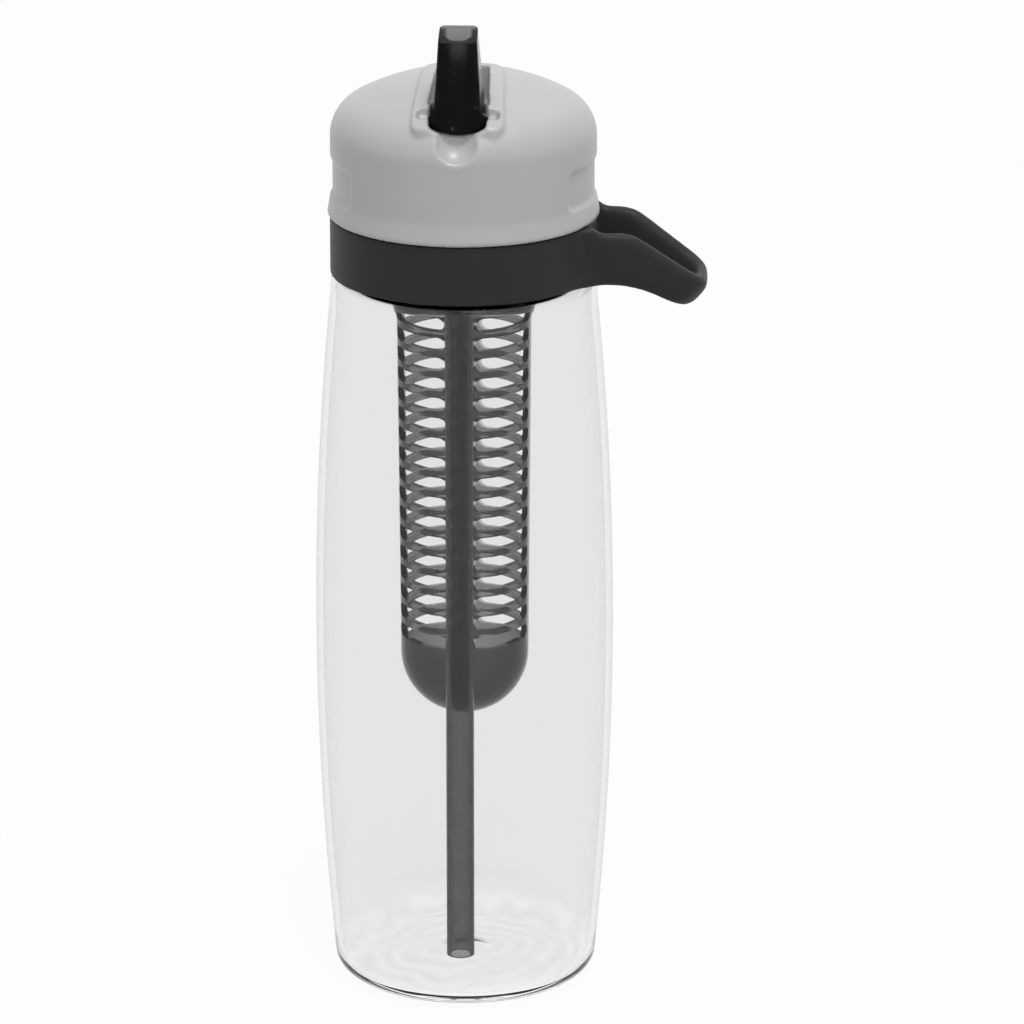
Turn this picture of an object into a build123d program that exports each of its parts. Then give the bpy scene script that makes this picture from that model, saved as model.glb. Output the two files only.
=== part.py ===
from build123d import *
from math import asin, cos, radians, sin, sqrt
import os

# Fruit infuser water bottle, in millimetres. The origin is the centre of the standing rim, +Z runs up the
# bottle's axis, the spout opens towards -Y and the carry loop points to +X.

# Overrun that takes every cut past the faces it opens, and the gap left between pieces that only meet
overrun = 2.0
seat_gap = 0.1
running_gap = 0.3

# Bottle body: a clear barrel-shaped bottle
belly_radius = 40.0
belly_height = 97.0
base_radius = 35.3
shoulder_step = 0.2
body_height = 196.2
heel_round = 5.2
shoulder_round = 2.8
body_wall = 1.9
floor_thickness = 2.4
rim_width = 3.0
push_up = 1.4
dimple_radius = 8.8
dimple_rise = 0.5

# Neck: a plain seat for the carry ring, then the thread
neck_seat_radius = 30.9
neck_relief = 1.1
neck_wall = 2.2
neck_height = 34.4
neck_round = 1.6
thread_depth = 1.0
thread_foot = 2.4
thread_crest = 1.0
thread_pitch = 4.2
thread_turns = 1.5
thread_drop = 6.8

# Carry ring: a collar on the neck seat with one drooping finger loop, whose lengths start at the collar
ring_space = 16.1
ring_wall = 4.1
loop_length = 30.3
loop_half_width = 10.8
loop_spread_share = 0.13
loop_root_round = 11.0
loop_tip_round = 10.0
loop_strap = 3.9
loop_shoulder_length = 1.0
loop_shoulder_fall = 1.4
loop_flat_length = 8.7
loop_top_fall = 16.8
loop_under_length = 10.2
loop_low_length = 24.9
loop_drop = 7.4
loop_top_round = 11.5
loop_nose_round = 2.5
loop_under_round = 23.0

# Lid shell: a domed cap
lid_skirt_wall = 2.3
lid_flare_width = 0.9
lid_flare_height = 5.6
dome_height = 16.6
crown_rise = 10.98
lid_edge_round = 11.2
lid_wall = 2.1
lid_inner_round = 7.0
lid_foot_round = 0.6
panel_half_angle = 36.0
panel_low = 5.4
panel_height = 10.6
panel_depth = 0.6
panel_round = 3.0

# Spout housing on the lid: a raised island with the slot that the spout folds into
island_lift = 1.3
island_front_length = 8.4
island_back_length = 28.6
island_front_half_width = 12.3
island_back_half_width = 10.4
island_corner = 3.4
island_edge_round = 0.7
housing_wall = 2.4
slot_side_gap = 0.7
slot_back_gap = 1.9
slot_step_lead = 0.7
relief_radius = 2.1
relief_lead = 3.0
relief_rise = 3.3
scoop_radius = 6.6
scoop_length = 13.2
scoop_drop = 2.0
scoop_rise = 12.0
scoop_lean = 25.0

# Spout, drawn open, with its heights and depths from its pivot
pivot_rise = 8.3
barrel_radius = 5.0
trunnion_radius = 1.6
trunnion_reach = 10.3
spout_height = 24.8
spout_base_back_half_width = 7.2
spout_base_front_half_width = 6.3
spout_top_back_half_width = 4.9
spout_top_front_half_width = 4.9
spout_base_back = 4.9
spout_base_front = 6.4
spout_top_back = 4.5
spout_top_front = 3.7
spout_corner = 1.4
mouth_drop = 2.8
mouth_width = 7.4
mouth_depth = 5.8
mouth_shift = 1.0
channel_length = 19.0
channel_taper = 3.0
port_radius = 1.9
tab_top = 5.4
tab_side = 3.2
tab_low = 1.2
tab_out = 8.2
tab_rim = 1.5
tab_dish = 0.9
tab_thickness = 2.0
spout_fold = 80.0

# Lid liner: the threaded inner cap
liner_plate = 2.0
liner_wall = 1.5
liner_inset = 1.2
boss_wall = 1.8
boss_length = 15.0
stem_radius = 2.55
stem_length = 10.0

# Silicone pieces
gasket_thickness = 1.5
gasket_width = 2.6
seal_radius = 3.5
valve_disc_radius = 3.3
valve_disc_thickness = 0.6
valve_stem_radius = 1.5
valve_head_radius = 2.1
valve_head_height = 0.9
vent_hole_radius = 0.8

# Straw
straw_radius = 3.72
straw_wall = 1.0
straw_foot = 11.6
straw_gap = 0.48

# Infuser basket
basket_gap = 1.48
basket_wall = 1.8
basket_reach = 141.2
basket_draft = 0.7
collar_wall = 1.6
collar_length = 45.9
collar_step = 0.3
collar_flare = 2.2
window_rows = 17
window_pitch = 5.53
window_drop_share = 0.6
window_height = 3.6
window_width_share = 1.1
window_rise = 5.4
window_sides = 4

# Share of a shallow rise that is left half way out from its middle
bow_share = 0.75


def crown_arc(start_radius, inset):
    """Arc of the domed top from a wall radius to the axis, set in by a wall thickness."""
    sphere = crown_radius - inset
    centre = lid_crown - crown_radius
    half_turn = asin(start_radius / sphere) / 2
    return ThreePointArc(
        (start_radius, centre + sqrt(sphere**2 - start_radius**2)),
        (sphere * sin(half_turn), centre + sphere * cos(half_turn)),
        (0, centre + sphere),
    )


def corners_at(sketch, *points):
    """The sketch's corners that lie nearest to the given points."""
    return [sketch.vertices().sort_by_distance(Vertex(*point))[0] for point in points]


def folded(behind, above):
    """Where a point of the open spout, given from its pivot, lies in the slot when the spout is folded back."""
    turn = radians(spout_fold)
    return (
        -flow_offset + behind * cos(turn) + above * sin(turn),
        pivot_height - behind * sin(turn) + above * cos(turn),
    )


def window_plane(side):
    """Plane that faces out through one side of the basket, at the middle of its lowest window. The windows of
    the two back sides stand a share of the pitch lower than the front ones."""
    turn = radians(360 * (side + 0.5) / window_sides)
    drop = window_pitch * window_drop_share if side < window_sides / 2 else 0
    return Plane(
        origin=(0, 0, window_low + window_height / 2 - drop),
        x_dir=(-sin(turn), cos(turn), 0),
        z_dir=(cos(turn), sin(turn), 0),
    )


# Heights and radii that follow from the sizes above
rim_inner_radius = base_radius - heel_round - rim_width
inner_base_radius = base_radius - body_wall
neck_top = body_height + neck_height
neck_root_radius = neck_seat_radius - neck_relief
neck_bore_radius = neck_root_radius - neck_wall
thread_crest_radius = neck_root_radius + thread_depth
thread_length = thread_pitch * thread_turns
lid_bottom = body_height + ring_space
ring_bottom = body_height + seat_gap
ring_top = lid_bottom - seat_gap
ring_bore_radius = neck_seat_radius + running_gap
ring_outer_radius = ring_bore_radius + ring_wall
shoulder_radius = ring_outer_radius - shoulder_step
plate_bottom = neck_top + gasket_thickness + seat_gap
plate_top = plate_bottom + liner_plate
lid_crown = plate_top + dome_height
pivot_height = plate_top + pivot_rise
liner_inner_radius = max(thread_crest_radius, neck_seat_radius) + running_gap
liner_outer_radius = liner_inner_radius + liner_wall
loop_reach = ring_outer_radius + loop_length
loop_shoulder_reach = ring_outer_radius + loop_shoulder_length
loop_flat_reach = ring_outer_radius + loop_flat_length
loop_top = ring_top - loop_shoulder_fall
loop_under_reach = ring_outer_radius + loop_under_length
loop_low_reach = ring_outer_radius + loop_low_length
loop_nose_run = loop_reach - loop_low_reach
loop_nose_rise = (ring_top - loop_top_fall) - (ring_bottom - loop_drop)
loop_nose_length = sqrt(loop_nose_run**2 + loop_nose_rise**2)
loop_lean = (loop_nose_run, 0, loop_nose_rise)
loop_slant_length = (ring_top - ring_bottom + 2 * loop_drop) * loop_nose_length / loop_nose_rise
loop_shift = loop_slant_length * loop_nose_run / loop_nose_length
loop_inner_reach = ring_bore_radius - loop_shift
loop_inner_half_width = loop_half_width + (loop_low_reach - loop_inner_reach) * loop_spread_share
loop_foot_reach = loop_low_reach + loop_drop * loop_nose_run / loop_nose_rise
loop_axis_half_width = loop_half_width + loop_foot_reach * loop_spread_share
loop_root_half_width = loop_axis_half_width - ring_outer_radius * loop_spread_share
loop_flat_half_width = loop_axis_half_width - loop_flat_reach * loop_spread_share
hole_low_reach = loop_low_reach - loop_strap * loop_nose_length / loop_nose_rise
hole_inner_half_width = loop_inner_half_width - loop_strap
hole_low_half_width = loop_half_width + (loop_low_reach - hole_low_reach) * loop_spread_share - loop_strap
shell_bore_radius = liner_outer_radius + seat_gap
lid_wall_radius = shell_bore_radius + lid_skirt_wall
lid_flare_radius = lid_wall_radius + lid_flare_width
crown_radius = (lid_wall_radius**2 + crown_rise**2) / (2 * crown_rise)
upper_bore_radius = lid_wall_radius - lid_wall - seat_gap
flow_offset = neck_bore_radius - straw_gap - straw_radius
island_front = flow_offset + island_front_length
island_back = island_back_length - flow_offset
scoop_out = flow_offset + scoop_length
scoop_low = pivot_height - scoop_drop
slot_clearance = 2 * running_gap
slot_back = folded(spout_top_back + slot_clearance, spout_height + slot_clearance)[0]
slot_front_half_width = spout_base_back_half_width + running_gap
slot_step_half_width = spout_base_back_half_width + slot_side_gap
slot_back_half_width = spout_top_back_half_width + slot_back_gap
slot_step = -flow_offset + slot_step_lead
bed_front = flow_offset + barrel_radius + running_gap
tab_half_width = spout_base_front_half_width + running_gap
tab_run = tab_out - spout_base_front
tab_length = sqrt((tab_top + tab_low) ** 2 + tab_run**2)
collar_radius = flow_offset - straw_radius - basket_gap
boss_radius = collar_radius - collar_wall - running_gap
basket_neck_radius = collar_radius - collar_step
basket_radius = basket_neck_radius - basket_draft
basket_top = plate_bottom - running_gap
collar_bottom = basket_top - collar_length
basket_dome_height = basket_top - basket_reach
window_low = basket_dome_height + window_rise
window_width = basket_radius * window_width_share
scoop_plane = Plane(
    origin=(0, -scoop_out, scoop_low),
    x_dir=(1, 0, 0),
    z_dir=(0, sin(radians(scoop_lean)), cos(radians(scoop_lean))),
)
panel_plane = Plane(
    origin=(0, 0, 0),
    x_dir=(cos(radians(panel_half_angle)), -sin(radians(panel_half_angle)), 0),
    z_dir=(-sin(radians(panel_half_angle)), -cos(radians(panel_half_angle)), 0),
)
valve_plane = Plane(origin=(0, flow_offset, plate_bottom), x_dir=(1, 0, 0), z_dir=(0, -1, 0))
tab_plane = Plane(
    origin=(0, -flow_offset - tab_out, pivot_height - tab_low),
    x_dir=(1, 0, 0),
    z_dir=(0, -tab_top - tab_low, tab_run),
)

# Bottle body
with BuildPart() as neck_thread:
    with BuildLine() as thread_path:
        Helix(
            pitch=thread_pitch,
            height=thread_length,
            radius=neck_root_radius,
            center=(0, 0, neck_top - thread_drop - thread_length),
        )
    with BuildSketch(Plane(origin=thread_path.line @ 0, x_dir=(1, 0, 0), z_dir=thread_path.line % 0)):
        with BuildLine():
            Polyline(
                (-seat_gap, -thread_foot / 2),
                (thread_depth, -thread_crest / 2),
                (thread_depth, thread_crest / 2),
                (-seat_gap, thread_foot / 2),
                close=True,
            )
        make_face()
    sweep(path=thread_path.line, is_frenet=True)

with BuildPart() as bottle_body:
    with BuildSketch(Plane.XZ) as outside:
        with BuildLine():
            Line((rim_inner_radius, 0), (base_radius, 0))
            ThreePointArc((base_radius, 0), (belly_radius, belly_height), (shoulder_radius, body_height))
            Polyline(
                (shoulder_radius, body_height),
                (neck_seat_radius, body_height),
                (neck_seat_radius, lid_bottom),
                (neck_root_radius, lid_bottom + thread_depth),
                (neck_root_radius, neck_top),
                (0, neck_top),
                (0, push_up),
            )
            ThreePointArc((0, push_up), (rim_inner_radius / 2, push_up * bow_share), (rim_inner_radius, 0))
        make_face()
        fillet(corners_at(outside, (base_radius, 0)), radius=heel_round)
        fillet(corners_at(outside, (shoulder_radius, body_height)), radius=shoulder_round)
    revolve(axis=Axis.Z)
    with BuildSketch(Plane.XZ) as inside:
        with BuildLine():
            ThreePointArc(
                (0, floor_thickness + push_up),
                (inner_base_radius / 2, floor_thickness + push_up * bow_share),
                (inner_base_radius, floor_thickness),
            )
            ThreePointArc(
                (inner_base_radius, floor_thickness),
                (belly_radius - body_wall, belly_height),
                (shoulder_radius - body_wall, body_height - body_wall),
            )
            Polyline(
                (shoulder_radius - body_wall, body_height - body_wall),
                (neck_bore_radius, body_height - body_wall),
                (neck_bore_radius, neck_top + overrun),
                (0, neck_top + overrun),
                (0, floor_thickness + push_up),
            )
        make_face()
        fillet(corners_at(inside, (inner_base_radius, floor_thickness)), radius=heel_round - body_wall)
        fillet(
            corners_at(
                inside,
                (shoulder_radius - body_wall, body_height - body_wall),
                (neck_bore_radius, body_height - body_wall),
            ),
            radius=neck_round,
        )
    revolve(axis=Axis.Z, mode=Mode.SUBTRACT)
    with BuildSketch(Plane.XY.offset(floor_thickness)):
        Circle(dimple_radius)
    extrude(amount=push_up + dimple_rise)
    with BuildSketch(Plane.XY):
        Circle(dimple_radius - body_wall)
    extrude(amount=push_up + dimple_rise, mode=Mode.SUBTRACT)
    add(neck_thread.part)
bottle_body.part.label = "bottle_body"

# Carry ring
with BuildPart() as carry_ring:
    with BuildSketch(Plane.XY.offset(ring_bottom)) as root:
        Circle(ring_outer_radius)
        with BuildLine():
            Polyline(
                (0, loop_axis_half_width),
                (loop_flat_reach, loop_flat_half_width),
                (loop_flat_reach, -loop_flat_half_width),
                (0, -loop_axis_half_width),
                close=True,
            )
        make_face()
        root_x = sqrt(ring_outer_radius**2 - loop_root_half_width**2)
        fillet(
            corners_at(root, (root_x, loop_root_half_width), (root_x, -loop_root_half_width)),
            radius=loop_root_round,
        )
    extrude(amount=ring_top - ring_bottom)
    with BuildSketch(Plane.XY.offset(ring_bottom - loop_drop)) as outline:
        with BuildLine():
            Polyline(
                (loop_inner_reach, loop_inner_half_width),
                (loop_low_reach, loop_half_width),
                (loop_low_reach, -loop_half_width),
                (loop_inner_reach, -loop_inner_half_width),
                close=True,
            )
        make_face()
        fillet(
            corners_at(outline, (loop_low_reach, loop_half_width), (loop_low_reach, -loop_half_width)),
            radius=loop_tip_round,
        )
    extrude(amount=loop_slant_length, dir=loop_lean)
    with BuildSketch(Plane.XZ) as profile:
        with BuildLine():
            Polyline(
                (-ring_outer_radius - overrun, ring_bottom),
                (loop_under_reach, ring_bottom),
                (loop_low_reach, ring_bottom - loop_drop),
                (loop_reach, ring_top - loop_top_fall),
                (loop_flat_reach, loop_top),
                (loop_shoulder_reach, loop_top),
                (ring_outer_radius, ring_top),
                (-ring_outer_radius - overrun, ring_top),
                close=True,
            )
        make_face()
        fillet(corners_at(profile, (loop_under_reach, ring_bottom)), radius=loop_under_round)
        fillet(corners_at(profile, (loop_flat_reach, loop_top)), radius=loop_top_round)
        fillet(
            corners_at(profile, (loop_low_reach, ring_bottom - loop_drop), (loop_reach, ring_top - loop_top_fall)),
            radius=loop_nose_round,
        )
    extrude(amount=ring_outer_radius + overrun, both=True, mode=Mode.INTERSECT)

with BuildPart() as loop_hole:
    with BuildSketch(Plane.XY.offset(ring_bottom - loop_drop)) as gap:
        with BuildLine():
            Polyline(
                (loop_inner_reach, hole_inner_half_width),
                (hole_low_reach, hole_low_half_width),
                (hole_low_reach, -hole_low_half_width),
                (loop_inner_reach, -hole_inner_half_width),
                close=True,
            )
        make_face()
        fillet(
            corners_at(gap, (hole_low_reach, hole_low_half_width), (hole_low_reach, -hole_low_half_width)),
            radius=loop_tip_round - loop_strap,
        )
    extrude(amount=loop_slant_length, dir=loop_lean)
    with BuildSketch(Plane.XY.offset(ring_bottom - loop_drop)):
        Circle(ring_outer_radius)
    extrude(amount=ring_top - ring_bottom + 2 * loop_drop, mode=Mode.SUBTRACT)

with carry_ring:
    add(loop_hole.part, mode=Mode.SUBTRACT)
    with BuildSketch(Plane.XY.offset(ring_bottom)):
        Circle(ring_bore_radius)
    extrude(amount=ring_top - ring_bottom, mode=Mode.SUBTRACT)
carry_ring.part.label = "carry_ring"

# Lid shell
with BuildPart() as island:
    with BuildSketch(Plane.XY.offset(lid_bottom)) as island_plan:
        with BuildLine():
            Polyline(
                (-island_front_half_width, -island_front),
                (island_front_half_width, -island_front),
                (island_back_half_width, island_back),
                (-island_back_half_width, island_back),
                close=True,
            )
        make_face()
        fillet(island_plan.vertices(), radius=island_corner)
    extrude(amount=lid_crown - lid_bottom + overrun)
    with BuildSketch(Plane.XZ):
        with BuildLine():
            lifted = crown_arc(lid_wall_radius, -island_lift)
            Polyline(lifted @ 1, (0, plate_top), (lid_wall_radius, plate_top), lifted @ 0)
        make_face()
    revolve(axis=Axis.Z, mode=Mode.INTERSECT)
    fillet(island.faces().sort_by(Axis.Z)[-1].edges(), radius=island_edge_round)

with BuildPart() as housing:
    with BuildSketch(Plane.XY.offset(plate_top + seat_gap)):
        with BuildLine():
            Polyline(
                (-island_front_half_width + running_gap, -lid_flare_radius),
                (island_front_half_width - running_gap, -lid_flare_radius),
                (island_front_half_width - running_gap, -flow_offset + barrel_radius),
                (slot_back_half_width + housing_wall, slot_back + housing_wall),
                (-slot_back_half_width - housing_wall, slot_back + housing_wall),
                (-island_front_half_width + running_gap, -flow_offset + barrel_radius),
                close=True,
            )
        make_face()
    extrude(amount=lid_crown - plate_top)

with BuildPart() as cavity:
    with BuildSketch(Plane.XZ) as cavity_profile:
        with BuildLine():
            ceiling = crown_arc(upper_bore_radius, lid_wall)
            Polyline(
                ceiling @ 1,
                (0, lid_bottom - overrun),
                (shell_bore_radius, lid_bottom - overrun),
                (shell_bore_radius, plate_top + seat_gap),
                (upper_bore_radius, plate_top + seat_gap),
                ceiling @ 0,
            )
        make_face()
        fillet(cavity_profile.vertices().sort_by_distance(ceiling @ 0)[0], radius=lid_inner_round)
    revolve(axis=Axis.Z)
    add(housing.part, mode=Mode.SUBTRACT)

with BuildPart() as slot:
    with BuildSketch(Plane.XY.offset(plate_top)):
        with BuildLine():
            Polyline(
                (-slot_front_half_width, -lid_flare_radius),
                (slot_front_half_width, -lid_flare_radius),
                (slot_front_half_width, slot_step),
                (slot_step_half_width, slot_step),
                (slot_back_half_width, slot_back),
                (-slot_back_half_width, slot_back),
                (-slot_step_half_width, slot_step),
                (-slot_front_half_width, slot_step),
                close=True,
            )
        make_face()
    extrude(amount=lid_crown + island_lift + overrun - plate_top)
    with BuildSketch(Plane.YZ):
        with BuildLine():
            Polyline(
                folded(spout_base_back + slot_clearance, 0),
                folded(spout_top_back + slot_clearance, spout_height + slot_clearance),
                (slot_back, lid_crown + island_lift + overrun),
                (-lid_flare_radius, lid_crown + island_lift + overrun),
                (-lid_flare_radius, pivot_height - tab_low - slot_clearance),
                (-flow_offset, pivot_height - tab_low - slot_clearance),
                close=True,
            )
        make_face()
        with Locations((-flow_offset, pivot_height)):
            Circle(barrel_radius + running_gap)
    extrude(amount=slot_step_half_width, both=True, mode=Mode.INTERSECT)
    with BuildSketch(Plane.XZ.offset(bed_front)):
        with BuildLine():
            ThreePointArc(
                (-slot_front_half_width, pivot_height + running_gap),
                (0, pivot_height - tab_low - slot_clearance),
                (slot_front_half_width, pivot_height + running_gap),
            )
            Polyline(
                (slot_front_half_width, pivot_height + running_gap),
                (slot_front_half_width, plate_top),
                (-slot_front_half_width, plate_top),
                (-slot_front_half_width, pivot_height + running_gap),
            )
        make_face()
    extrude(amount=lid_flare_radius - bed_front, mode=Mode.SUBTRACT)

with BuildPart() as ears:
    with BuildSketch(Plane.YZ):
        with Locations((-flow_offset, pivot_height)):
            Circle(trunnion_radius + running_gap)
        with Locations((-flow_offset - relief_lead, pivot_height + relief_rise)):
            Circle(relief_radius)
        with Locations((-flow_offset - relief_lead, pivot_height + relief_rise + relief_radius)):
            Rectangle(2 * relief_radius, 2 * relief_radius)
    extrude(amount=trunnion_reach + running_gap, both=True)

with BuildPart() as scoop:
    with BuildSketch(scoop_plane):
        Circle(scoop_radius)
    extrude(amount=scoop_rise)
    with Locations((0, -scoop_out, scoop_low)):
        Sphere(scoop_radius)

with BuildPart() as grip_panel:
    with BuildSketch(panel_plane):
        with BuildLine():
            Polyline(
                (lid_wall_radius - panel_depth, lid_bottom + panel_low),
                (lid_flare_radius + overrun, lid_bottom + panel_low),
                (lid_flare_radius + overrun, lid_bottom + panel_low + panel_height),
                (lid_wall_radius - panel_depth, lid_bottom + panel_low + panel_height),
                close=True,
            )
        make_face()
    revolve(axis=Axis.Z, revolution_arc=2 * panel_half_angle)
    fillet(grip_panel.edges().filter_by(GeomType.LINE).filter_by(Axis.Z, reverse=True), radius=panel_round)

with BuildPart() as lid_shell:
    with BuildSketch(Plane.XZ) as lid_profile:
        with BuildLine():
            crown = crown_arc(lid_wall_radius, 0)
            Polyline(
                crown @ 1,
                (0, lid_bottom),
                (lid_flare_radius, lid_bottom),
                (lid_wall_radius, lid_bottom + lid_flare_height),
                crown @ 0,
            )
        make_face()
        fillet(lid_profile.vertices().sort_by_distance(crown @ 0)[0], radius=lid_edge_round)
        fillet(corners_at(lid_profile, (lid_flare_radius, lid_bottom)), radius=lid_foot_round)
    revolve(axis=Axis.Z)
    add(island.part)
    add(cavity.part, mode=Mode.SUBTRACT)
    add(slot.part, mode=Mode.SUBTRACT)
    add(ears.part, mode=Mode.SUBTRACT)
    add(scoop.part, mode=Mode.SUBTRACT)
    with PolarLocations(0, 2):
        add(grip_panel.part, mode=Mode.SUBTRACT)
    with Locations((0, -flow_offset, plate_top)):
        Cylinder(
            seal_radius + seat_gap,
            pivot_height - plate_top,
            align=(Align.CENTER, Align.CENTER, Align.MIN),
            mode=Mode.SUBTRACT,
        )
    with Locations((0, slot_back - 2 * housing_wall, plate_top)):
        Cylinder(
            vent_hole_radius,
            lid_crown - plate_top,
            align=(Align.CENTER, Align.CENTER, Align.MIN),
            mode=Mode.SUBTRACT,
        )
lid_shell.part.label = "lid_shell"

# Lid liner
with BuildPart() as lid_liner:
    with BuildSketch(Plane.XZ):
        with BuildLine():
            Polyline(
                (0, plate_bottom),
                (boss_radius - boss_wall, plate_bottom),
                (boss_radius - boss_wall, plate_bottom - boss_length),
                (boss_radius, plate_bottom - boss_length),
                (boss_radius, plate_bottom),
                (liner_inner_radius, plate_bottom),
                (liner_inner_radius, lid_bottom + liner_inset),
                (liner_outer_radius, lid_bottom + liner_inset),
                (liner_outer_radius, plate_top),
                (0, plate_top),
                close=True,
            )
        make_face()
    revolve(axis=Axis.Z)
    with BuildSketch(Plane.XY.offset(plate_bottom)):
        with Locations((0, -flow_offset)):
            Circle(stem_radius)
    extrude(amount=-stem_length)
    with Locations((0, -flow_offset, plate_top)):
        Hole(port_radius)
    with Locations((0, flow_offset, plate_top)):
        Hole(valve_stem_radius + seat_gap)
lid_liner.part.label = "lid_liner"

# Lid gasket
with BuildPart() as lid_gasket:
    with BuildSketch(Plane.XY.offset(neck_top + seat_gap / 2)):
        Circle(neck_bore_radius + gasket_width)
        Circle(neck_bore_radius, mode=Mode.SUBTRACT)
    extrude(amount=gasket_thickness)
lid_gasket.part.label = "lid_gasket"

# Spout seal
with BuildPart() as spout_seal:
    with BuildSketch(Plane.XY.offset(plate_top)):
        with Locations((0, -flow_offset)):
            Circle(seal_radius)
            Circle(port_radius, mode=Mode.SUBTRACT)
    extrude(amount=pivot_height - plate_top)
    with BuildSketch(Plane.YZ):
        with Locations((-flow_offset, pivot_height)):
            Circle(barrel_radius + seat_gap)
        with BuildLine():
            Polyline(
                (-flow_offset, pivot_height),
                folded(spout_base_back + seat_gap, 0),
                folded(spout_base_back + seat_gap, spout_height),
                close=True,
            )
        make_face()
    extrude(amount=seal_radius + overrun, both=True, mode=Mode.SUBTRACT)
spout_seal.part.label = "spout_seal"

# Vent valve
with BuildPart() as vent_valve:
    with BuildSketch(valve_plane):
        with BuildLine():
            Polyline(
                (0, -valve_disc_thickness),
                (valve_disc_radius, -valve_disc_thickness),
                (valve_disc_radius, 0),
                (valve_stem_radius, 0),
                (valve_stem_radius, liner_plate),
                (valve_head_radius, liner_plate),
                (valve_stem_radius, liner_plate + valve_head_height),
                (0, liner_plate + valve_head_height),
                close=True,
            )
        make_face()
    revolve(axis=Axis(valve_plane.origin, valve_plane.y_dir))
vent_valve.part.label = "vent_valve"

# Spout
with BuildPart() as spout:
    for height, back, front, back_half, front_half in (
        (0, spout_base_back, spout_base_front, spout_base_back_half_width, spout_base_front_half_width),
        (spout_height, spout_top_back, spout_top_front, spout_top_back_half_width, spout_top_front_half_width),
    ):
        with BuildSketch(Plane.XY.offset(pivot_height + height)) as section:
            with BuildLine():
                Polyline(
                    (-front_half, -flow_offset - front),
                    (front_half, -flow_offset - front),
                    (back_half, -flow_offset + back),
                    (-back_half, -flow_offset + back),
                    close=True,
                )
            make_face()
            fillet(section.vertices(), radius=spout_corner)
    loft()
    with BuildSketch(Plane.YZ):
        with Locations((-flow_offset, pivot_height)):
            Circle(barrel_radius)
    extrude(amount=spout_base_back_half_width, both=True)
    with BuildSketch(Plane.YZ):
        with Locations((-flow_offset, pivot_height)):
            Circle(trunnion_radius)
    extrude(amount=trunnion_reach, both=True)
    with BuildSketch(tab_plane) as tab:
        with BuildLine():
            ThreePointArc((-tab_half_width, tab_side), (0, 0), (tab_half_width, tab_side))
            Polyline(
                (tab_half_width, tab_side),
                (spout_base_front_half_width, tab_length),
                (-spout_base_front_half_width, tab_length),
                (-tab_half_width, tab_side),
            )
        make_face()
    extrude(amount=-tab_thickness)
    with BuildSketch(tab_plane):
        with BuildLine():
            ThreePointArc(
                (-tab_half_width + tab_rim, tab_length - tab_rim),
                (0, tab_rim),
                (tab_half_width - tab_rim, tab_length - tab_rim),
            )
            Line(
                (tab_half_width - tab_rim, tab_length - tab_rim),
                (-tab_half_width + tab_rim, tab_length - tab_rim),
            )
        make_face()
    extrude(amount=-tab_dish, mode=Mode.SUBTRACT)
    with BuildSketch(Plane.YZ):
        with BuildLine():
            Polyline(
                (-flow_offset + spout_top_back, pivot_height + spout_height),
                (-flow_offset - spout_top_front, pivot_height + spout_height - mouth_drop),
                (-flow_offset - 2 * spout_base_front, pivot_height + spout_height - mouth_drop),
                (-flow_offset - 2 * spout_base_front, pivot_height + spout_height + overrun),
                (-flow_offset + spout_top_back, pivot_height + spout_height + overrun),
                close=True,
            )
        make_face()
    extrude(amount=spout_base_back_half_width, both=True, mode=Mode.SUBTRACT)
    with BuildSketch(Plane.XY.offset(pivot_height + spout_height)):
        with Locations((0, -flow_offset + mouth_shift)):
            Circle(mouth_width / 2)
            with Locations((0, mouth_depth)):
                Rectangle(mouth_width, mouth_width, mode=Mode.SUBTRACT)
    extrude(amount=-channel_length, taper=channel_taper, mode=Mode.SUBTRACT)
    with Locations((0, -flow_offset, pivot_height + spout_height)):
        Hole(port_radius)
spout.part.label = "spout"

# Straw
with BuildPart() as straw:
    with BuildSketch(Plane.XY.offset(straw_foot)):
        with Locations((0, -flow_offset)):
            Circle(straw_radius)
            Circle(straw_radius - straw_wall, mode=Mode.SUBTRACT)
    extrude(amount=plate_bottom - overrun - straw_foot)
straw.part.label = "straw"

# Infuser basket
with BuildPart() as infuser_basket:
    with BuildSketch(Plane.XZ):
        with BuildLine():
            dome = CenterArc((0, basket_dome_height), basket_radius, -90, 90)
            Polyline(
                dome @ 1,
                (basket_neck_radius, collar_bottom - collar_flare),
                (collar_radius, collar_bottom),
                (collar_radius, basket_top),
                (collar_radius - collar_wall, basket_top),
                (collar_radius - collar_wall, collar_bottom),
                (basket_neck_radius - basket_wall, collar_bottom - collar_flare),
                (basket_radius - basket_wall, basket_dome_height),
            )
            bowl = CenterArc((0, basket_dome_height), basket_radius - basket_wall, -90, 90)
            Line(bowl @ 0, dome @ 0)
        make_face()
    revolve(axis=Axis.Z)
    for side in range(window_sides):
        with BuildSketch(window_plane(side)):
            with Locations((0, (window_rows - 1) * window_pitch / 2)):
                with GridLocations(0, window_pitch, 1, window_rows):
                    SlotOverall(window_width, window_height)
        extrude(amount=collar_radius + overrun, mode=Mode.SUBTRACT)
infuser_basket.part.label = "infuser_basket"

os.makedirs("parts", exist_ok=True)
pieces = (
    bottle_body,
    carry_ring,
    lid_shell,
    lid_liner,
    lid_gasket,
    spout,
    spout_seal,
    vent_valve,
    straw,
    infuser_basket,
)
for piece in pieces:
    export_step(piece.part, "parts/" + piece.part.label + ".step")
    print(piece.part.label, piece.part.is_valid, round(piece.part.volume), len(piece.part.solids()))
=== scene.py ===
import math

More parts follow.
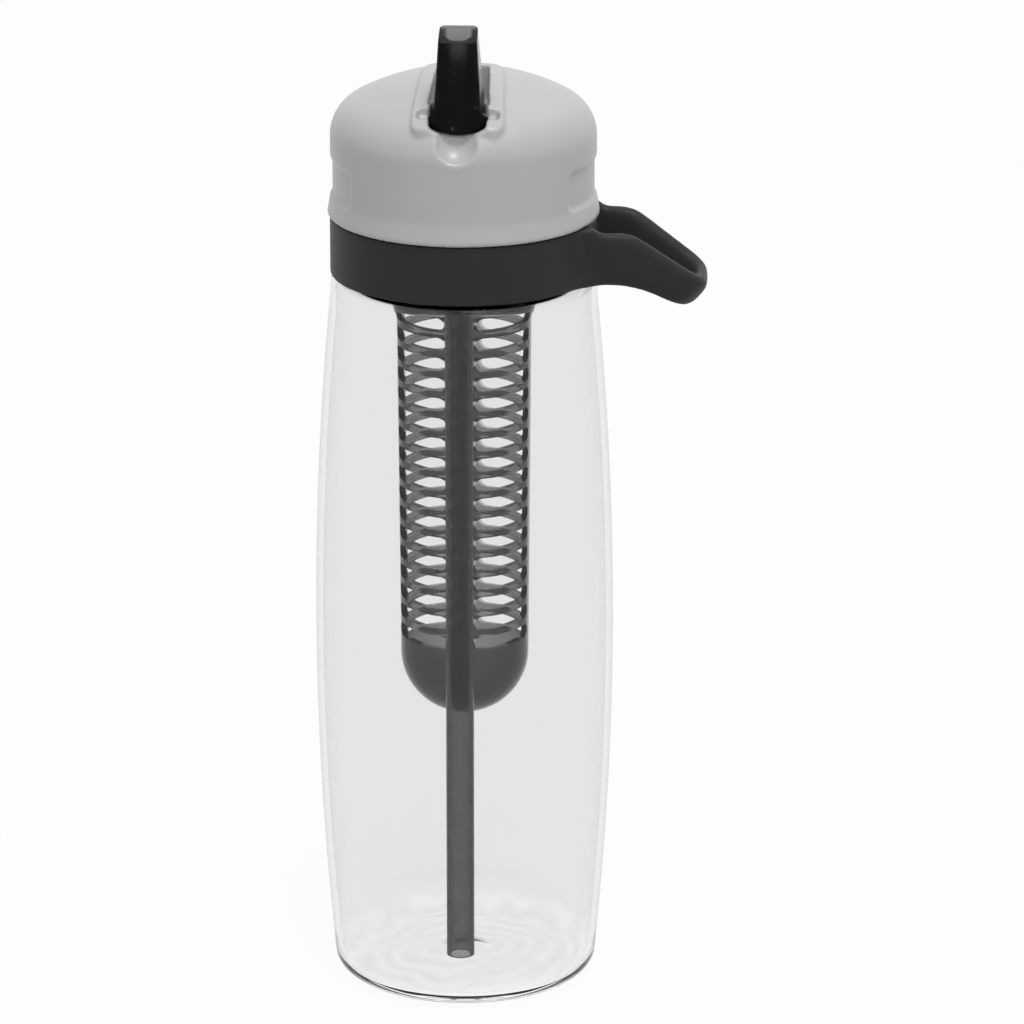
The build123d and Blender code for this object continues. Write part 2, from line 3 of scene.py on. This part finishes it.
import bmesh
import bpy
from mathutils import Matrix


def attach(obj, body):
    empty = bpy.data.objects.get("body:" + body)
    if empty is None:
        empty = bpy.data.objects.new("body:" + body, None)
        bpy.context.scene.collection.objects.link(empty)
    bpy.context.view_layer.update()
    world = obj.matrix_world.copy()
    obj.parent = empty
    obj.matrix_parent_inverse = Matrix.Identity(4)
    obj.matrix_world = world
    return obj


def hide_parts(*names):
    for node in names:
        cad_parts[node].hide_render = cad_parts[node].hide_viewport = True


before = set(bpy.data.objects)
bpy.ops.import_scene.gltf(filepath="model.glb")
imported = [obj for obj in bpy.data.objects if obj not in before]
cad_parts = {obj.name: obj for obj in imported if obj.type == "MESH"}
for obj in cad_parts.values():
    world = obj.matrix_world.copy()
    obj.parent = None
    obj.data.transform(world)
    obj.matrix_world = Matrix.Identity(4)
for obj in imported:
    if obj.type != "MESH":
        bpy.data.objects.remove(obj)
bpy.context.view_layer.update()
mm = 0.001


# Bottle body. The real piece is one moulding of clear copolyester: a barrel wall under 2 mm thick, a base
# pushed up in the middle so that it stands on its rim, and a heavier neck that carries the ring's seat and
# the lid's thread. The wall is almost colourless, with the faint waviness that moulding leaves in it.
weld_distance = 0.002 * mm
crease_angle = math.radians(35)
arc_steps = 44
turn_steps = 192
corner_segments = 6

belly_radius = 40.0
belly_height = 97.0
belly_wall = 1.9
body_height = 196.2
base_radius = 35.25
rim_inner_radius = 29.6
seat_radius = 30.9
seat_height = 212.3
neck_radius = 29.8
neck_height = 230.6
mouth_radius = 27.6
neck_floor = 194.3
thread_root = 29.6
thread_crest = 30.8
thread_turns = 1.5
thread_rise = 6.3
thread_steps = 144

# Corners of the bottle's section in mm: radius, height and, where the corner is eased, how far back.
outside_foot = (
    (5.6, 1.72, 1.8), (9.6, 1.27, 1.8), (16.0, 0.9), (27.1, 0.05, 1.2), (rim_inner_radius, 0),
    (base_radius, 0, 5.0), (35.86, 9.0),
)
outside_belly, outside_shoulder = (belly_radius, belly_height), (35.53, 189.0)
neck = (
    (35.1, body_height, 2.4), (seat_radius, body_height, 0.5), (seat_radius, seat_height, 0.4),
    (neck_radius, 213.3, 0.4), (neck_radius, neck_height, 0.6), (mouth_radius, neck_height, 0.6),
    (mouth_radius, neck_floor, 1.5), (33.2, neck_floor, 1.5), (33.66, 188.0),
)
inside_belly, inside_heel = (belly_radius - belly_wall, belly_height), (34.1, 10.0)
inside_floor = (
    (33.5, 2.5, 3.3), (24.0, 2.95), (14.0, 3.5), (10.8, 3.62, 2.2), (7.2, 3.95, 2.2), (0, 4.05),
)
outside_middle_height = 1.8
thread_section = ((thread_root, 216.3), (thread_crest, 217.0), (thread_crest, 218.0), (thread_root, 218.7))


def bowed_run(bm, start, middle, end):
    """Runs an arc from a vertex through a middle point to an end point, both a radius and a height in mm."""
    ax, az = start.co.x, start.co.z
    bx, bz = (size * mm for size in middle)
    cx, cz = (size * mm for size in end)
    twice = 2 * (ax * (bz - cz) + bx * (cz - az) + cx * (az - bz))
    a, b, c = ax * ax + az * az, bx * bx + bz * bz, cx * cx + cz * cz
    x = (a * (bz - cz) + b * (cz - az) + c * (az - bz)) / twice
    z = (a * (cx - bx) + b * (ax - cx) + c * (bx - ax)) / twice
    turn = math.atan2(az - z, ax - x) - math.atan2(cz - z, cx - x)
    arc = bmesh.ops.spin(bm, geom=[start], cent=(x, 0, z), axis=(0, 1, 0), angle=turn, steps=arc_steps)
    return arc["geom_last"][0]


def run_to(bm, start, corners, eased):
    """Joins straight runs on to a vertex and notes the corners to ease."""
    for radius, height, *reach in corners:
        vert = bm.verts.new((radius * mm, 0, height * mm))
        bm.edges.new((start, vert))
        start = vert
        eased.extend((vert, back * mm) for back in reach)
    return start


def ease(bm, eased):
    """Rounds the noted corners of a profile."""
    for vert, reach in eased:
        bmesh.ops.bevel(
            bm, geom=[vert], offset=reach, offset_type="OFFSET", segments=corner_segments, profile=0.5,
            affect="VERTICES", material=-1,
        )


def turned(bm):
    """Spins everything in the mesh a full turn round the bottle's axis and closes it."""
    bmesh.ops.spin(
        bm, geom=bm.verts[:] + bm.edges[:], cent=(0, 0, 0), axis=(0, 0, 1), angle=math.tau,
        steps=turn_steps, use_merge=True,
    )
    bmesh.ops.remove_doubles(bm, verts=bm.verts, dist=weld_distance)
    bmesh.ops.recalc_face_normals(bm, faces=bm.faces)


def finished(bm, name, material, body, nodes):
    """Makes the mesh a piece that rides on a body and stands for its CAD nodes."""
    mesh = bpy.data.meshes.new(name)
    bm.to_mesh(mesh)
    bm.free()
    mesh.shade_smooth()
    mesh.set_sharp_from_angle(angle=crease_angle)
    piece = bpy.data.objects.new(name, mesh)
    bpy.context.scene.collection.objects.link(piece)
    mesh.materials.append(material)
    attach(piece, body)
    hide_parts(*nodes)
    return piece


def add(tree, kind, inputs=(), **properties):
    """Adds a node to a tree. Each input is a socket's name or number, and a value or the output it takes."""
    made = tree.nodes.new(kind)
    for label, value in properties.items():
        setattr(made, label, value)
    for label, value in inputs:
        if isinstance(value, bpy.types.NodeSocket):
            tree.links.new(value, made.inputs[label])
        else:
            made.inputs[label].default_value = value
    return made


def surface_group():
    """Shared effect: the fine grain, the slow unevenness and the rubbed patches of a moulded surface."""
    rubs_per_wave = 3.1
    noise_middle = 0.5
    group = bpy.data.node_groups.new("moulded_surface", "ShaderNodeTree")
    for way, label, kind in (
        ("INPUT", "Grain Scale", "Float"), ("INPUT", "Wave Scale", "Float"), ("INPUT", "Wave Share", "Float"),
        ("INPUT", "Roughness", "Float"), ("INPUT", "Roughness Spread", "Float"), ("INPUT", "Color", "Color"),
        ("INPUT", "Color Spread", "Float"),
        ("OUTPUT", "Color", "Color"), ("OUTPUT", "Roughness", "Float"), ("OUTPUT", "Height", "Float"),
    ):
        group.interface.new_socket(label, in_out=way, socket_type="NodeSocket" + kind)
    given = add(group, "NodeGroupInput").outputs
    where = add(group, "ShaderNodeTexCoord").outputs["Object"]
    grain = add(group, "ShaderNodeTexNoise", (
        ("Vector", where), ("Scale", given["Grain Scale"]), ("Detail", 3.0),
    ))
    wave = add(group, "ShaderNodeTexNoise", (
        ("Vector", where), ("Scale", given["Wave Scale"]), ("Detail", 2.0),
    ))
    rub_scale = add(group, "ShaderNodeMath", (
        (0, given["Wave Scale"]), (1, rubs_per_wave),
    ), operation="MULTIPLY")
    rubbed = add(group, "ShaderNodeTexNoise", (
        ("Vector", where), ("Scale", rub_scale.outputs[0]), ("Detail", 5.0), ("Roughness", 0.62),
    ))
    height = add(group, "ShaderNodeMix", (
        ("Factor", given["Wave Share"]), ("A", grain.outputs["Fac"]), ("B", wave.outputs["Fac"]),
    ))
    centred = add(group, "ShaderNodeMath", (
        (0, rubbed.outputs["Fac"]), (1, noise_middle),
    ), operation="SUBTRACT")
    rough = add(group, "ShaderNodeMath", (
        (0, centred.outputs[0]), (1, given["Roughness Spread"]), (2, given["Roughness"]),
    ), operation="MULTIPLY_ADD")
    shade = add(group, "ShaderNodeMath", (
        (0, centred.outputs[0]), (1, given["Color Spread"]), (2, 1.0),
    ), operation="MULTIPLY_ADD")
    tone = add(group, "ShaderNodeVectorMath", (
        (0, given["Color"]), ("Scale", shade.outputs[0]),
    ), operation="SCALE")
    add(group, "NodeGroupOutput", (
        ("Color", tone.outputs[0]), ("Roughness", rough.outputs[0]), ("Height", height.outputs["Result"]),
    ))
    return group


moulded_surface = surface_group()


def moulded(name, color, tint, roughness, spread, grain, wave, share, depth, **shader):
    """A moulded finish, its bump depth in mm. Values that are the same all over are set on the shader."""
    material = bpy.data.materials.new(name)
    material.use_nodes = True
    tree = material.node_tree
    surface = tree.nodes["Principled BSDF"].inputs
    for label, value in shader.items():
        surface[label.replace("_", " ")].default_value = value
    effect = add(tree, "ShaderNodeGroup", (
        ("Grain Scale", grain), ("Wave Scale", wave), ("Wave Share", share), ("Roughness", roughness),
        ("Roughness Spread", spread), ("Color", (*color, 1.0)), ("Color Spread", tint),
    ), node_tree=moulded_surface).outputs
    bump = add(tree, "ShaderNodeBump", (
        ("Strength", 1.0), ("Distance", depth * mm), ("Height", effect["Height"]),
    ))
    tree.links.new(bump.outputs["Normal"], surface["Normal"])
    tree.links.new(effect["Color"], surface["Base Color"])
    tree.links.new(effect["Roughness"], surface["Roughness"])
    return material


clear_plastic = moulded(
    "clear_copolyester", color=(0.888, 0.89, 0.878), tint=0.02, roughness=0.012, spread=0.01, grain=90.0,
    wave=16.0, share=0.85, depth=0.004, Transmission_Weight=1.0, IOR=1.3,
)
# A clear wall's colour is painted darker and bluer where one looks along it: painted edge shade that stands
# in for the dark edges a clear wall shows. The painted shade weakens towards the foot, where the base ripples
# and lighter rings of painted light are mixed in.
painted_edge_shades = (
    (0.5, (1, 1, 1, 1)), (0.66, (0.93, 0.94, 0.95, 1)), (0.84, (0.80, 0.82, 0.84, 1)),
    (0.88, (0.52, 0.59, 0.64, 1)), (1.0, (0.42, 0.45, 0.50, 1)),
)
foot_painted_shade_share = 0.2
foot_painted_shade_height = 3.0 * mm
full_painted_shade_height = 14.0 * mm
ripple_top = 9.0 * mm
ripple_full_height = 5.0 * mm
painted_ripple_light = (0.97, 0.975, 0.98, 1)

tree = clear_plastic.node_tree
# Painted shade: the colour darkens the more nearly one looks along the wall. It is full above the foot and
# weaker at the foot.
along = add(tree, "ShaderNodeLayerWeight", (("Blend", 0.5),))
edge = add(tree, "ShaderNodeValToRGB", (("Fac", along.outputs["Facing"]),))
ramp = edge.color_ramp.elements
for element, (position, color) in zip(ramp, (painted_edge_shades[0], painted_edge_shades[-1])):
    element.position, element.color = position, color
for position, color in painted_edge_shades[1:-1]:
    ramp.new(position).color = color
where = add(tree, "ShaderNodeTexCoord").outputs["Object"]
height = add(tree, "ShaderNodeSeparateXYZ", (("Vector", where),)).outputs["Z"]
wall_only = add(tree, "ShaderNodeMapRange", (
    ("Value", height), ("From Min", foot_painted_shade_height), ("From Max", full_painted_shade_height),
    ("To Min", foot_painted_shade_share),
))
base_only = add(tree, "ShaderNodeMapRange", (
    ("Value", height), ("From Min", ripple_top), ("From Max", ripple_full_height),
))
painted_shade_edge = add(tree, "ShaderNodeMix", (
    ("Factor", wall_only.outputs["Result"]), ("A", tree.nodes["Group"].outputs["Color"]),
    ("B", edge.outputs["Color"]),
), data_type="RGBA", blend_type="MULTIPLY")
# Painted light: lighter wavy rings are mixed into the colour near the foot. They stand in for the light that
# the rippled base bends.
flow = add(tree, "ShaderNodeTexWave", (
    ("Vector", where), ("Scale", 48.0), ("Distortion", 13.0), ("Detail", 3.0), ("Detail Scale", 0.9),
), wave_type="RINGS", rings_direction="Z")
ripple = add(tree, "ShaderNodeMath", (
    (0, flow.outputs["Fac"]), (1, base_only.outputs["Result"]),
), operation="MULTIPLY")
rippled = add(tree, "ShaderNodeMix", (
    ("Factor", ripple.outputs[0]), ("A", painted_shade_edge.outputs["Result"]), ("B", painted_ripple_light),
), data_type="RGBA")
tree.links.new(rippled.outputs["Result"], tree.nodes["Principled BSDF"].inputs["Base Color"])

bm = bmesh.new()
eased = []
last = bm.verts.new((0, 0, outside_middle_height * mm))
last = run_to(bm, last, outside_foot, eased)
last = bowed_run(bm, last, outside_belly, outside_shoulder)
last = run_to(bm, last, neck, eased)
last = bowed_run(bm, last, inside_belly, inside_heel)
run_to(bm, last, inside_floor, eased)
ease(bm, eased)
turned(bm)
thread = [bm.verts.new((radius * mm, 0, height * mm)) for radius, height in thread_section]
thread_edges = [bm.edges.new(pair) for pair in zip(thread, thread[1:] + thread[:1])]
bmesh.ops.spin(
    bm, geom=thread + thread_edges, cent=(0, 0, 0), axis=(0, 0, 1), angle=thread_turns * math.tau,
    dvec=(0, 0, thread_rise / thread_steps * mm), steps=thread_steps,
)
bmesh.ops.holes_fill(bm, edges=[e for e in bm.edges if e.is_boundary], sides=len(thread))
bmesh.ops.recalc_face_normals(bm, faces=bm.faces)
finished(bm, "clear_bottle", clear_plastic, "bottle", ["bottle_body"])


# Carry ring. The real piece is a soft-touch charcoal moulding: a collar that sits loosely on the neck's seat
# under the lid, and a strap that leaves it in one curve, droops and comes back as a finger loop. Every edge
# is well rounded and the surface is dull, with a fine spark-eroded grain.
def softened(name, node, material, body, voxel, passes):
    """A CAD node's form with its edges rounded as a mould rounds them, kept as a plain mesh."""
    bm = bmesh.new()
    bm.from_mesh(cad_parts[node].data)
    bmesh.ops.remove_doubles(bm, verts=bm.verts, dist=weld_distance)
    piece = finished(bm, name, material, body, [node])
    remesh = piece.modifiers.new("skin", "REMESH")
    remesh.mode = "VOXEL"
    remesh.voxel_size = voxel
    remesh.use_smooth_shade = True
    smooth = piece.modifiers.new("rounded edges", "SMOOTH")
    smooth.factor = 0.5
    smooth.iterations = passes
    rounded = bpy.data.meshes.new_from_object(piece.evaluated_get(bpy.context.evaluated_depsgraph_get()))
    piece.modifiers.clear()
    piece.data = rounded
    return piece


soft_charcoal = moulded(
    "soft_touch_charcoal", color=(0.0235, 0.0235, 0.024), tint=0.2, roughness=0.5, spread=0.12, grain=2600.0,
    wave=60.0, share=0.25, depth=0.02, IOR=1.45, Specular_IOR_Level=0.18,
)
ring = softened("carry_ring_soft", "carry_ring", soft_charcoal, "ring", 0.5 * mm, 8)

# The further out on the strap, the more it is smoothed. The swell gives back what the smoothing takes.
strap_half_width = 20 * mm
smoothing_zones = ((33.6 * mm, 8), (34.8 * mm, 10), (36.0 * mm, 12), (37.2 * mm, 14))
swell = 0.4 * mm
swell_start = 36.6 * mm
swell_run = 9.0 * mm
bm = bmesh.new()
bm.from_mesh(ring.data)
for start, passes in smoothing_zones:
    strap = [vert for vert in bm.verts if vert.co.x > start and abs(vert.co.y) < strap_half_width]
    for _ in range(passes):
        bmesh.ops.smooth_vert(bm, verts=strap, factor=0.5, use_axis_x=True, use_axis_y=True, use_axis_z=True)
bm.normal_update()
for vert in bm.verts:
    vert.co += vert.normal * swell * max(0.0, min(1.0, (vert.co.x - swell_start) / swell_run))
bm.to_mesh(ring.data)
bm.free()


# Lid shell. The real piece is an injection-moulded cap in light grey polypropylene, about 2 mm thick, pressed
# over the threaded liner: a low dome with a raised housing for the spout, a scoop for a fingertip in front of
# it and a shallow grip panel on each side. Its satin surface is even.
satin_grey = moulded(
    "satin_grey_polypropylene", color=(0.415, 0.415, 0.417), tint=0.03, roughness=0.36, spread=0.08,
    grain=1800.0, wave=45.0, share=0.35, depth=0.012, IOR=1.49,
)
softened("lid_shell_satin", "lid_shell", satin_grey, "lid", 0.55 * mm, 2)


# Lid liner. The real piece is the threaded inner cap, moulded in a darker grey and welded into the shell. It
# carries the stem for the straw and the short boss that the basket twists on to.
liner_grey = moulded(
    "liner_grey_polypropylene", color=(0.16, 0.16, 0.165), tint=0.05, roughness=0.42, spread=0.1,
    grain=1500.0, wave=50.0, share=0.4, depth=0.02, IOR=1.49,
)
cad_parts["lid_liner"].material_slots[0].material = liner_grey


# Silicone pieces. The real ones are a flat gasket on the neck's rim, the grommet under the spout's barrel and
# the umbrella valve that lets air in. Each is pressed or stretched into place, milky white and a bit tacky.
silicone = moulded(
    "milky_silicone", color=(0.62, 0.63, 0.64), tint=0.06, roughness=0.45, spread=0.15, grain=700.0,
    wave=80.0, share=0.5, depth=0.02, IOR=1.41,
)
for node in ("lid_gasket", "spout_seal", "vent_valve"):
    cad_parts[node].material_slots[0].material = silicone


# Spout. The real piece is moulded in smoke-tinted copolyester and polished: a hollow tapered spout with a
# D-shaped mouth, a barrel that clicks into the housing on two stub trunnions, and a thumb tab below.
def smoked(material, density):
    """Fills a clear piece with an even smoke tint, darker the more plastic one looks through."""
    tree = material.node_tree
    smoke = add(tree, "ShaderNodeVolumeAbsorption", (("Color", (0, 0, 0, 1)), ("Density", density)))
    tree.links.new(smoke.outputs["Volume"], tree.nodes["Material Output"].inputs["Volume"])
    return material


smoke_spout = smoked(moulded(
    "polished_smoke_spout", color=(0.86, 0.86, 0.865), tint=0.05, roughness=0.03, spread=0.03, grain=300.0,
    wave=60.0, share=0.8, depth=0.006, Transmission_Weight=1.0, IOR=1.2,
), density=850.0)
softened("polished_spout", "spout", smoke_spout, "spout", 0.17 * mm, 2)


# Straw and infuser basket. The real ones are smoke-tinted copolyester, thin enough to see through: an
# extruded tube pushed over the stem, and a moulded tube with a round end and seventeen slots up each side.
for node, density in (("straw", 1000.0), ("infuser_basket", 720.0)):
    smoke_clear = smoked(moulded(
        "smoke_tinted_" + node, color=(0.90, 0.90, 0.90), tint=0.04, roughness=0.05, spread=0.05, grain=240.0,
        wave=50.0, share=0.7, depth=0.008, Transmission_Weight=1.0, IOR=1.28,
    ), density)
    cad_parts[node].material_slots[0].material = smoke_clear


# Studio. A pale floor that keeps the bottle's soft shadow, a plain white surround and three soft lamps. Both
# floor and surround look white to the camera and through the clear plastic, but light the bottle less.
surround_light = 0.55
floor_half_size = 6.0
floor_height = -0.5 * mm
floor_grey = (0.7, 0.7, 0.7, 1)
floor_white_share = 0.95


def looked_at(tree):
    """Is 1 where the camera looks, also by reflection or through a clear piece, and 0 for other light."""
    path = add(tree, "ShaderNodeLightPath").outputs
    bent = add(tree, "ShaderNodeMath", (
        (0, path["Is Glossy Ray"]), (1, path["Is Transmission Ray"]),
    ), operation="MAXIMUM")
    seen = add(tree, "ShaderNodeMath", (
        (0, path["Is Camera Ray"]), (1, bent.outputs[0]),
    ), operation="MAXIMUM")
    return seen.outputs[0]


world = bpy.data.worlds.new("surround")
bpy.context.scene.world = world
world.use_nodes = True
tree = world.node_tree
back = tree.nodes["Background"].inputs
back["Color"].default_value = (1, 1, 1, 1)
strength = add(tree, "ShaderNodeMapRange", (
    ("Value", looked_at(tree)), ("To Min", surround_light), ("To Max", 1.0),
))
tree.links.new(strength.outputs[0], back["Strength"])

bm = bmesh.new()
bmesh.ops.create_grid(bm, x_segments=1, y_segments=1, size=floor_half_size)
floor_mesh = bpy.data.meshes.new("floor")
bm.to_mesh(floor_mesh)
bm.free()
floor = bpy.data.objects.new("floor", floor_mesh)
floor.location.z = floor_height
bpy.context.scene.collection.objects.link(floor)
paper = bpy.data.materials.new("pale_floor")
paper.use_nodes = True
tree = paper.node_tree
matt = tree.nodes["Principled BSDF"]
matt.inputs["Base Color"].default_value = floor_grey
matt.inputs["Roughness"].default_value = 0.8
glow = add(tree, "ShaderNodeEmission", (("Strength", 1.0),))
share = add(tree, "ShaderNodeMath", ((0, looked_at(tree)), (1, floor_white_share)), operation="MULTIPLY")
mix = add(tree, "ShaderNodeMixShader", (
    ("Fac", share.outputs[0]), (1, matt.outputs[0]), (2, glow.outputs[0]),
))
tree.links.new(mix.outputs[0], tree.nodes["Material Output"].inputs["Surface"])
floor_mesh.materials.append(paper)

lamp_aim = (0, 0, 0.2)
for name, place, size, power in (
    ("top soft box", (0.2, -0.38, 1.5), 0.4, 12.5),
    ("back soft box", (0.2, 0.7, 1.2), 0.8, 0.8),
    ("front soft box", (0.2, -0.95, 1.15), 0.35, 1.2),
):
    light = bpy.data.lights.new(name, "AREA")
    light.shape = "RECTANGLE"
    light.size = light.size_y = size
    light.energy = power
    lamp = bpy.data.objects.new(name, light)
    lamp.location = place
    reach = [a - b for a, b in zip(lamp_aim, place)]
    tilt = math.atan2(math.hypot(reach[0], reach[1]), -reach[2])
    lamp.rotation_euler = (tilt, 0, math.atan2(-reach[0], reach[1]))
    bpy.context.scene.collection.objects.link(lamp)

# The camera stands where the photo was taken from, as fitted to the lid, the base and the basket's slots.
photo_pixels = 1024.0
focal_pixels = 5998.0
sensor_width = 36.0
camera_distance = 1.5284
camera_height = 0.6263
camera_bearing = 3.2
camera_dip = 18.02
camera_yaw = 0.478

camera_data = bpy.data.cameras.new("camera")
camera_data.sensor_width = sensor_width
camera_data.lens = focal_pixels / photo_pixels * sensor_width
camera_data.clip_start = 0.05
camera_data.clip_end = 50.0
camera = bpy.data.objects.new("camera", camera_data)
bearing = math.radians(camera_bearing)
camera.location = (camera_distance * math.sin(bearing), -camera_distance * math.cos(bearing), camera_height)
camera.rotation_euler = (math.radians(90 - camera_dip), 0, math.radians(camera_bearing - camera_yaw))
bpy.context.scene.collection.objects.link(camera)
bpy.context.scene.camera = camera
bpy.context.scene.view_settings.view_transform = "Standard"
